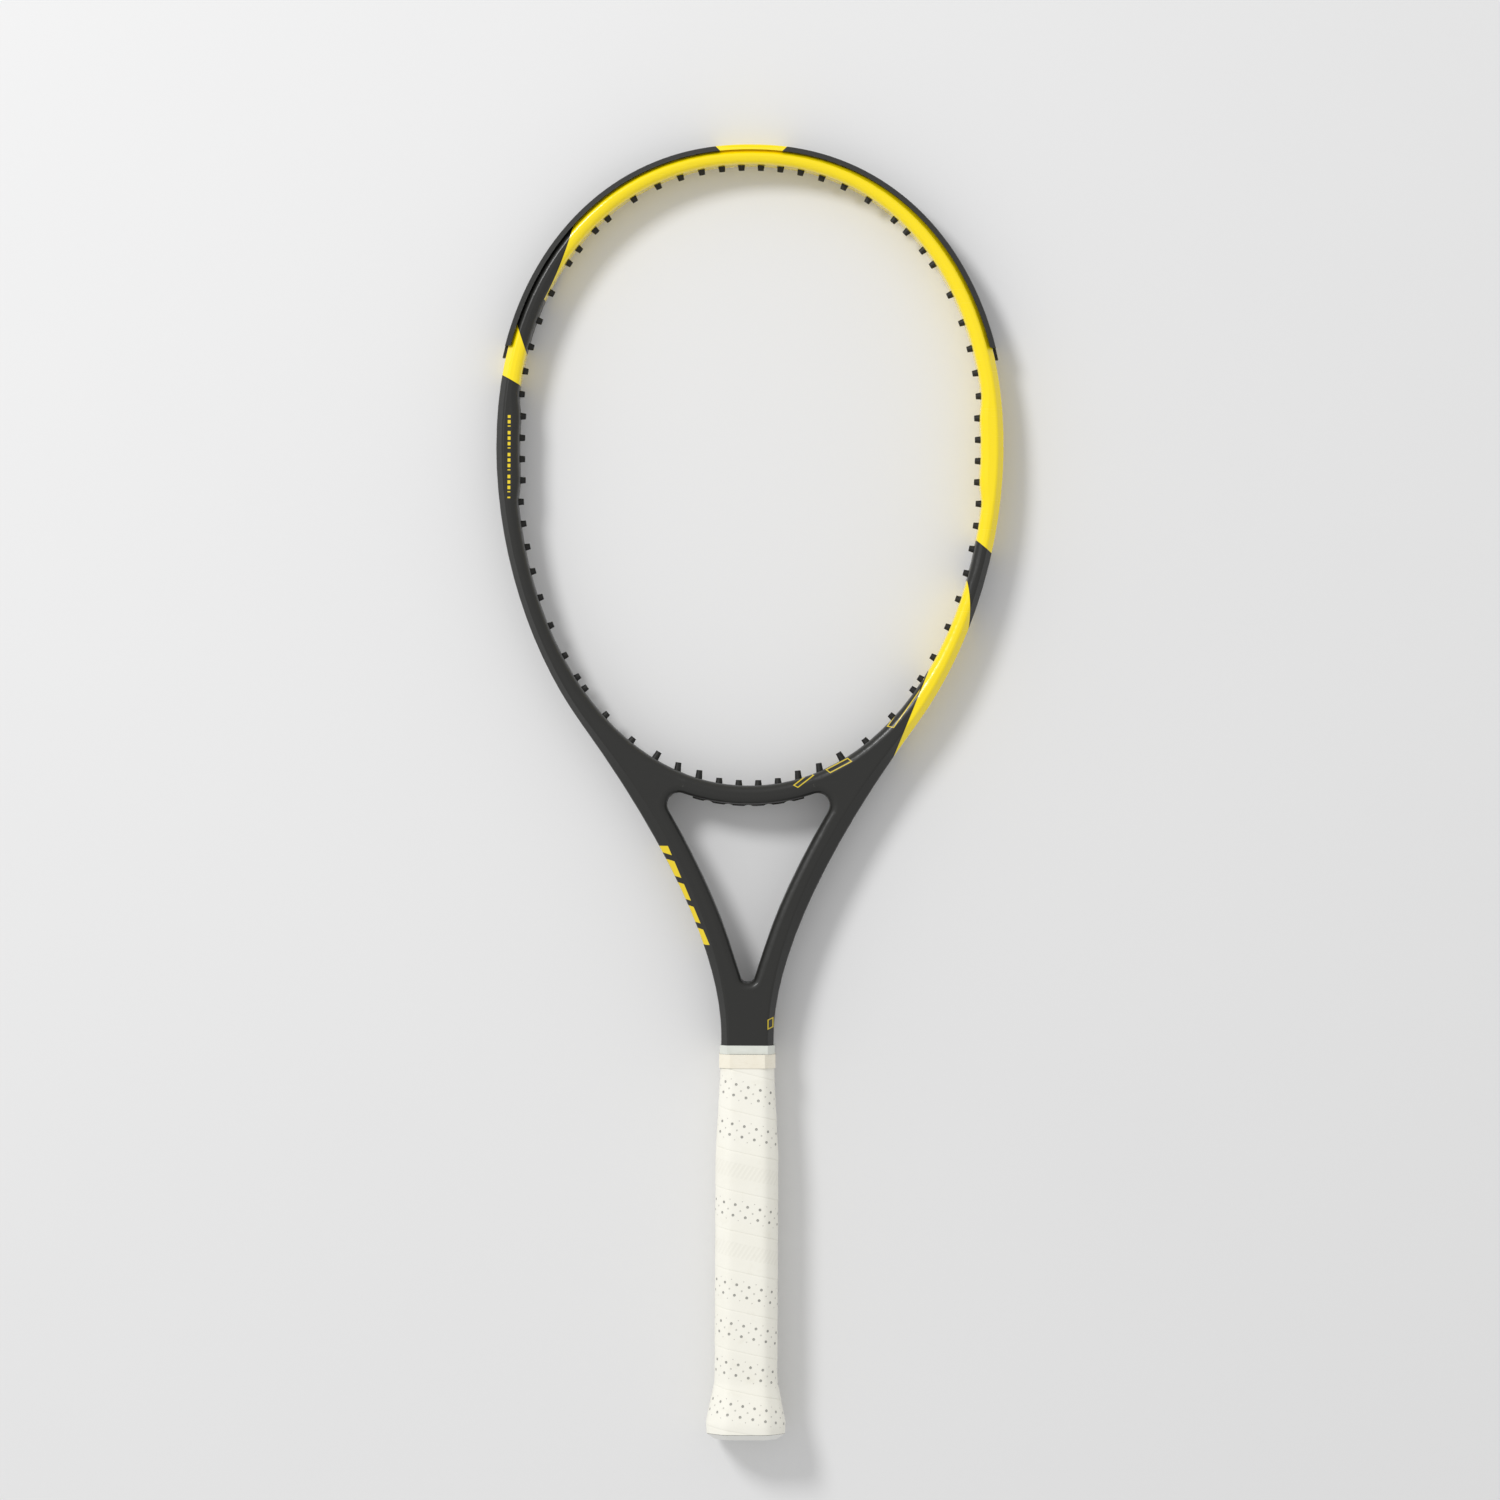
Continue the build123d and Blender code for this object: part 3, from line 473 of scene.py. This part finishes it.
def collar_finish():
    """Pale milky rubber."""
    finish = Finish("collar_rubber")
    mottle = finish.noise(240.0, 4.0)
    base = finish.mix(mottle, srgb(232, 234, 226), srgb(214, 217, 208))
    finish.set(
        Base_Color=base,
        Roughness=0.34 + 0.16 * mottle,
        Normal=finish.bump(finish.noise(1500.0, 2.0), 0.15, 0.0001),
    )
    return finish.material


def foam_finish():
    """Dark moulded foam with open cells."""
    finish = Finish("pallet_foam_cells")
    cells = finish.node("ShaderNodeTexVoronoi", {}, {"Vector": finish.place, "Scale": 1400.0})
    # painted shade: the foam is darker towards the middle of each cell, in its hollow
    base = finish.mix(cells.rise(0.1, 0.5), srgb(40, 40, 40), srgb(70, 70, 68))
    finish.set(Base_Color=base, Roughness=0.8 - 0.1 * cells, Normal=finish.bump(cells, 0.4, 0.0002))
    return finish.material


def steel_finish():
    """Bright drawn wire."""
    finish = Finish("steel_wire_drawn")
    streaks = finish.streaks((120.0, 3000.0, 3000.0), 2.0)
    base = finish.mix(streaks, srgb(176, 176, 174), srgb(206, 206, 204))
    finish.set(Base_Color=base, Roughness=0.24 + 0.16 * streaks, Normal=finish.bump(streaks, 0.1, 0.00005))
    finish.shader.inputs["Metallic"].default_value = 1.0
    return finish.material


PLAIN_BANDS = (141.4, 99.4)  # heights of the front's stretches with flutes in place of holes, in millimetres
PLAIN_HALF = 8.4
PLAIN_SLOPE = 0.2
FLUTE_PITCH = 2.4
FLUTE_HALF = 4.2
LEAD_EDGE = 1.2  # how far the rows of holes lie below the middle of the ribbon
OUTER_DOTS = 2.3  # from a row of holes out to the smallest ones


def grip_finish(colours, grip):
    """Perforated creamy ribbon; its pattern runs along and across the ribbon."""
    finish = Finish("grip_cushion_perforated")
    ribbon = finish.split(finish.node("ShaderNodeUVMap", {"uv_map": "ribbon"}))
    along, across = ribbon[0] * MM, ribbon[1] * MM
    x, y, z = finish.axes()
    step = grip.hole_pitch * MM
    middle = (grip.pitch + grip.overlap) * MM / 2 - LEAD_EDGE
    row = grip.row_gap * MM / 2
    radius = grip.hole_radius * MM
    from_middle = abs(across - middle)
    square = along + across * (grip.pitch * MM / HANDLE_GIRTH)

    def dots(offset, place, size, soft):
        gap = ((square + offset * step).share_of(step) - 0.5) * step
        side = from_middle - place
        return (gap * gap + side * side).root().rise(size + soft, size - soft)

    large = dots(0.0, row, radius, 0.16)
    small = dots(0.5, 0.0, radius * 0.62, 0.16)
    tiny = dots(0.5, row + OUTER_DOTS, radius * 0.4, 0.14)
    band = y + PLAIN_SLOPE * x
    upper, lower = ((abs(band - height) - PLAIN_HALF).rise(1.0, -1.0) for height in PLAIN_BANDS)
    plain = upper.most(lower) * z.rise(4.0, 9.0)
    pierced = 1.0 - plain
    flute = abs((along + 0.6 * across).share_of(FLUTE_PITCH) - 0.5)
    flutes = flute.rise(0.5, 0.1) * plain * (FLUTE_HALF - from_middle).rise(0.0, 0.6)
    uneven = 0.62 + 0.5 * finish.noise(170.0, 2.0)
    holes = (large * 0.82 + small * 0.42 + tiny * 0.4) * pierced * uneven
    mottle = finish.noise(45.0, 4.0)
    grime = finish.noise(140.0, 5.0)
    base = finish.mix(mottle * 0.5, tuple(colours.cream), srgb(238, 235, 220))
    base = finish.mix(grime.rise(0.55, 0.8) * 0.22, base, srgb(222, 217, 198))
    # painted shade: a thin darker line along the ribbon's lower edge, the seam where each turn lies over the
    # one below
    base = finish.mix(across.rise(0.9, 0.15) * 0.07, base, srgb(204, 201, 188))
    # painted shade: the cream is a little darker in the flutes' grooves
    base = finish.mix(flutes * 0.10, base, srgb(200, 196, 180))
    final = finish.mix(holes, base, srgb(112, 112, 108))
    skin = finish.noise(1900.0, 3.0)
    fine = finish.bump(skin, 0.18, 0.0001)
    pits = finish.bump(1.0 - (large + small * 0.6 + tiny * 0.4) * pierced - flutes * 0.12, 0.8, 0.0005, fine)
    finish.set(Base_Color=final, Roughness=0.56 + 0.12 * mottle - 0.05 * grime, Normal=pits)
    finish.shader.inputs["Sheen Weight"].default_value = 0.12
    return finish.material


# ------------------------------------------------------------------ grip
def handle_stand(y):
    """How far the bare handle stands out from the pallet's own size at a height."""
    flare = GRIP_HIGH.x - PALLET_HIGH.x - CUSHION
    if y <= FLARE_Y:
        return flare - 0.0003 * (FLARE_Y - y) / (FLARE_Y - GRIP_LOW.y)
    if y < CAP_HIGH.y:
        return flare * (CAP_HIGH.y - y) / (CAP_HIGH.y - FLARE_Y)
    past = y - (PALLET_HIGH.y - SLIM_LENGTH)
    return -SLIM_DEPTH * min(1.0, max(0.0, past / (SLIM_LENGTH - SLIM_END)))


def handle_radius(angle, y, height):
    """Distance from the handle's axis to its rounded octagon, a height above the bare handle."""
    across, facing = abs(math.sin(angle)), abs(math.cos(angle))
    out = handle_stand(y) + height
    wide, deep = PALLET_HIGH.x, PALLET_HIGH.z
    corner = (wide + deep - CORNER_CUT) / math.sqrt(2) + out
    power = 20
    total = (across / (wide + out)) ** power
    total += (facing / (deep + out)) ** power
    total += ((across + facing) / math.sqrt(2) / corner) ** power
    return total ** (-1 / power)


def ribbon_section(grip):
    """The ribbon's section: across its width, and the height above the handle."""
    pitch, overlap, thick, step = grip.pitch, grip.overlap, grip.thickness, grip.step
    width = pitch + overlap
    top = [
        (0.0, thick - 0.00012),
        (0.00012, thick + step * 0.55),
        (0.0004, thick + step * 0.9),
        (0.0009, thick + step),
        (0.0018, thick + step * 0.8),
        (0.0036, thick + step * 0.35),
        (0.006, thick + 0.00004),
        (0.010, thick),
        (0.014, thick - 0.00002),
        (0.018, thick - 0.00006),
        (pitch - 0.0012, thick - 0.00010),
        (pitch, thick - 0.00014),
        (pitch + overlap * 0.3, thick * 0.62),
        (pitch + overlap * 0.7, thick * 0.36),
        (width, thick * 0.22),
    ]
    bottom = [
        (width, 0.00006),
        (pitch, 0.00006),
        (0.012, 0.00006),
        (overlap + 0.0008, 0.00006),
        (overlap, thick * 0.26),
        (overlap * 0.7, thick * 0.42),
        (overlap * 0.3, thick * 0.68),
        (0.0002, thick - 0.00022),
    ]
    return top + bottom


def ribbon_mesh(grip):
    """A closed ribbon wound up the handle, each turn over the top of the one below."""
    section = ribbon_section(grip)
    crown = 7  # the point of the section that the ribbon's length is measured along
    per_turn = 120
    low = GRIP_LOW.y - 1.15 * grip.pitch - grip.overlap
    start = grip.seam_height
    while start > low:
        start -= grip.pitch
    turns = int((GRIP_HIGH.y - start) / grip.pitch) + 2
    builder = bmesh.new()
    uv = builder.loops.layers.uv.new("ribbon")
    rings, lengths = [], []
    length, last = 0.0, None
    for number in range(turns * per_turn + 1):
        turn = number / per_turn
        angle = -2 * math.pi * turn
        base = start + grip.pitch * turn
        ring = []
        for across, height in section:
            y = base + across
            out = handle_radius(angle, min(max(y, GRIP_LOW.y), GRIP_HIGH.y), height)
            ring.append(builder.verts.new((math.sin(angle) * out, y, math.cos(angle) * out)))
        middle = ring[crown].co
        if last is not None:
            length += (middle - last).length
        last = middle.copy()
        rings.append(ring)
        lengths.append(length)
    count = len(section)
    walls = []
    for number in range(len(rings) - 1):
        first, second = rings[number], rings[number + 1]
        for place in range(count):
            after = (place + 1) % count
            face = builder.faces.new((first[place], first[after], second[after], second[place]))
            corners = ((place, number), (after, number), (after, number + 1), (place, number + 1))
            for loop, (which, station) in zip(face.loops, corners):
                loop[uv].uv = (lengths[station], section[which][0])
            walls.append(face)
    for ring in (rings[0], rings[-1]):
        builder.faces.new(ring)
    bmesh.ops.recalc_face_normals(builder, faces=builder.faces)
    mesh = bpy.data.meshes.new("grip_ribbon")
    builder.to_mesh(mesh)
    builder.free()
    return mesh


def only(piece):
    """Selects one object alone and makes it the active one."""
    bpy.ops.object.select_all(action="DESELECT")
    piece.select_set(True)
    bpy.context.view_layer.objects.active = piece


def cut_flat(piece, height, keep_above):
    """Cuts a piece square across at a height and closes the cut."""
    only(piece)
    bpy.ops.object.mode_set(mode="EDIT")
    bpy.ops.mesh.select_all(action="SELECT")
    bpy.ops.mesh.bisect(
        plane_co=(0, height, 0),
        plane_no=(0, 1, 0),
        use_fill=True,
        clear_inner=keep_above,
        clear_outer=not keep_above,
        threshold=1e-7,
    )
    bpy.ops.object.mode_set(mode="OBJECT")


# ------------------------------------------------------------------ operators
class RACKET_OT_paint_frame(bpy.types.Operator):
    """Paint the frame and its bridge charcoal and yellow"""

    bl_idname = "racket.paint_frame"
    bl_label = "Paint the frame"

    def execute(self, context):
        material = paint_finish(context.scene.racket_finish)
        dress(material, "frame_tube", "throat_bridge")
        return {"FINISHED"}


class RACKET_OT_colour_nylon(bpy.types.Operator):
    """Give the bumper guard and the grommet strips their moulded nylon"""

    bl_idname = "racket.colour_nylon"
    bl_label = "Colour the nylon"

    def execute(self, context):
        settings = context.scene.racket_finish
        dress(nylon_finish(settings, "bumper_nylon", True), "bumper_guard")
        strips = nylon_finish(settings, "grommet_nylon", False)
        dress(strips, "grommet_strip_left", "grommet_strip_right", "grommet_strip_throat")
        return {"FINISHED"}


class RACKET_OT_finish_handle(bpy.types.Operator):
    """Finish the butt cap, its door, the tape, the collar and what is under the grip"""

    bl_idname = "racket.finish_handle"
    bl_label = "Finish the handle"

    def execute(self, context):
        settings = context.scene.racket_finish
        dress(cap_finish(settings), "butt_cap", "butt_cap_door")
        dress(tape_finish(settings), "finishing_tape")
        dress(collar_finish(), "grip_collar")
        dress(foam_finish(), "handle_pallet")
        dress(steel_finish(), "butt_cap_staples", "grip_start_tack")
        return {"FINISHED"}


class RACKET_OT_wind_grip(bpy.types.Operator):
    """Wind the cushion ribbon up the handle"""

    bl_idname = "racket.wind_grip"
    bl_label = "Wind the grip"

    def execute(self, context):
        grip = context.scene.racket_grip
        piece = bpy.data.objects.new("grip_ribbon", ribbon_mesh(grip))
        context.scene.collection.objects.link(piece)
        cut_flat(piece, GRIP_LOW.y, True)
        cut_flat(piece, TAPE_LOW.y + 0.002, False)
        only(piece)
        bpy.ops.object.shade_smooth_by_angle(angle=math.radians(40))
        piece.data.materials.append(grip_finish(context.scene.racket_finish, grip))
        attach(piece, "racket")
        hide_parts("base_grip")
        return {"FINISHED"}


class RACKET_OT_set_stage(bpy.types.Operator):
    """Set the pale floor, the soft lights and the camera"""

    bl_idname = "racket.set_stage"
    bl_label = "Set the stage"

    def execute(self, context):
        stage = context.scene.racket_stage
        floor_plane()
        lights(stage)
        camera(stage)
        return {"FINISHED"}


def dress(material, *nodes):
    """Gives CAD nodes a material in every slot they have."""
    for node in nodes:
        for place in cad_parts[node].material_slots:
            place.material = material


# ------------------------------------------------------------------ stage
def floor_plane():
    """A pale floor that touches the butt and the tip."""
    butt = Vector((0.0, 0.008, GRIP_LOW.z - 0.0002))
    tip = Vector((0.0, CAD_BOX[1][1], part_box("bumper_guard")[0].z - 0.0002))
    slope = math.atan2(tip.z - butt.z, tip.y - butt.y)
    bpy.ops.object.select_all(action="DESELECT")
    bpy.ops.mesh.primitive_plane_add(size=8.0, location=butt, rotation=(slope, 0, 0))
    floor = bpy.context.active_object
    floor.name = "studio_floor"
    bpy.ops.object.transform_apply(location=True, rotation=True, scale=True)
    finish = Finish("studio_floor_paper")
    paper = finish.noise(5.0, 3.0)
    base = finish.mix(paper * 0.3, srgb(232, 232, 232), srgb(226, 226, 227))
    finish.set(Base_Color=base, Roughness=0.9 - 0.05 * paper)
    floor.data.materials.append(finish.material)


def soft_light(name, place, aim, size, power):
    data = bpy.data.lights.new(name, "AREA")
    data.shape = "DISK"
    data.size = size
    data.energy = power
    lamp = bpy.data.objects.new(name, data)
    bpy.context.scene.collection.objects.link(lamp)
    lamp.location = place
    lamp.rotation_euler = (Vector(aim) - Vector(place)).to_track_quat("-Z", "Y").to_euler()


def lights(stage):
    """One large soft light from the upper left and an even pale sky."""
    soft_light("key_light", (-1.5, 1.9, 2.2), (0, 0.35, 0), 0.8, stage.key_power)
    world = bpy.data.worlds.new("studio_sky")
    world.use_nodes = True
    sky = world.node_tree.nodes["Background"]
    sky.inputs["Color"].default_value = (1.0, 1.0, 1.0, 1.0)
    sky.inputs["Strength"].default_value = stage.sky
    bpy.context.scene.world = world


def camera(stage):
    """A camera square above the strings."""
    data = bpy.data.cameras.new("studio_camera")
    data.sensor_width = 36.0
    data.lens = 36.0 * stage.camera_height / stage.view_size
    data.clip_end = 50.0
    eye = bpy.data.objects.new("studio_camera", data)
    bpy.context.scene.collection.objects.link(eye)
    eye.location = (*stage.view_middle, stage.camera_height)
    eye.rotation_euler = (0.0, 0.0, stage.roll)
    bpy.context.scene.camera = eye
    bpy.context.scene.view_settings.view_transform = "Standard"


# ------------------------------------------------------------------ panel
class RACKET_PT_build(bpy.types.Panel):
    """The racket's finishes, grip and stage"""

    bl_idname = "RACKET_PT_build"
    bl_label = "Tennis racket"
    bl_space_type = "VIEW_3D"
    bl_region_type = "UI"
    bl_category = "Racket"

    def draw(self, context):
        for group, operators in (
            ("racket_finish", (RACKET_OT_paint_frame, RACKET_OT_colour_nylon, RACKET_OT_finish_handle)),
            ("racket_grip", (RACKET_OT_wind_grip,)),
            ("racket_stage", (RACKET_OT_set_stage,)),
        ):
            box = self.layout.box()
            values = getattr(context.scene, group)
            for name in values.__annotations__:
                box.prop(values, name)
            for operator in operators:
                box.operator(operator.bl_idname)


GROUPS = {
    "racket_finish": RacketFinishSettings,
    "racket_grip": RacketGripSettings,
    "racket_stage": RacketStageSettings,
}
OPERATORS = (
    RACKET_OT_paint_frame,
    RACKET_OT_colour_nylon,
    RACKET_OT_finish_handle,
    RACKET_OT_wind_grip,
    RACKET_OT_set_stage,
)


def register():
    for name, group in GROUPS.items():
        bpy.utils.register_class(group)
        setattr(bpy.types.Scene, name, bpy.props.PointerProperty(type=group))
    for operator in OPERATORS:
        bpy.utils.register_class(operator)
    bpy.utils.register_class(RACKET_PT_build)


def unregister():
    bpy.utils.unregister_class(RACKET_PT_build)
    for operator in reversed(OPERATORS):
        bpy.utils.unregister_class(operator)
    for name, group in GROUPS.items():
        delattr(bpy.types.Scene, name)
        bpy.utils.unregister_class(group)


def main():
    register()
    bpy.ops.racket.paint_frame()
    bpy.ops.racket.colour_nylon()
    bpy.ops.racket.finish_handle()
    bpy.ops.racket.wind_grip()
    bpy.ops.racket.set_stage()
    bpy.context.view_layer.update()


if __name__ == "__main__":
    main()
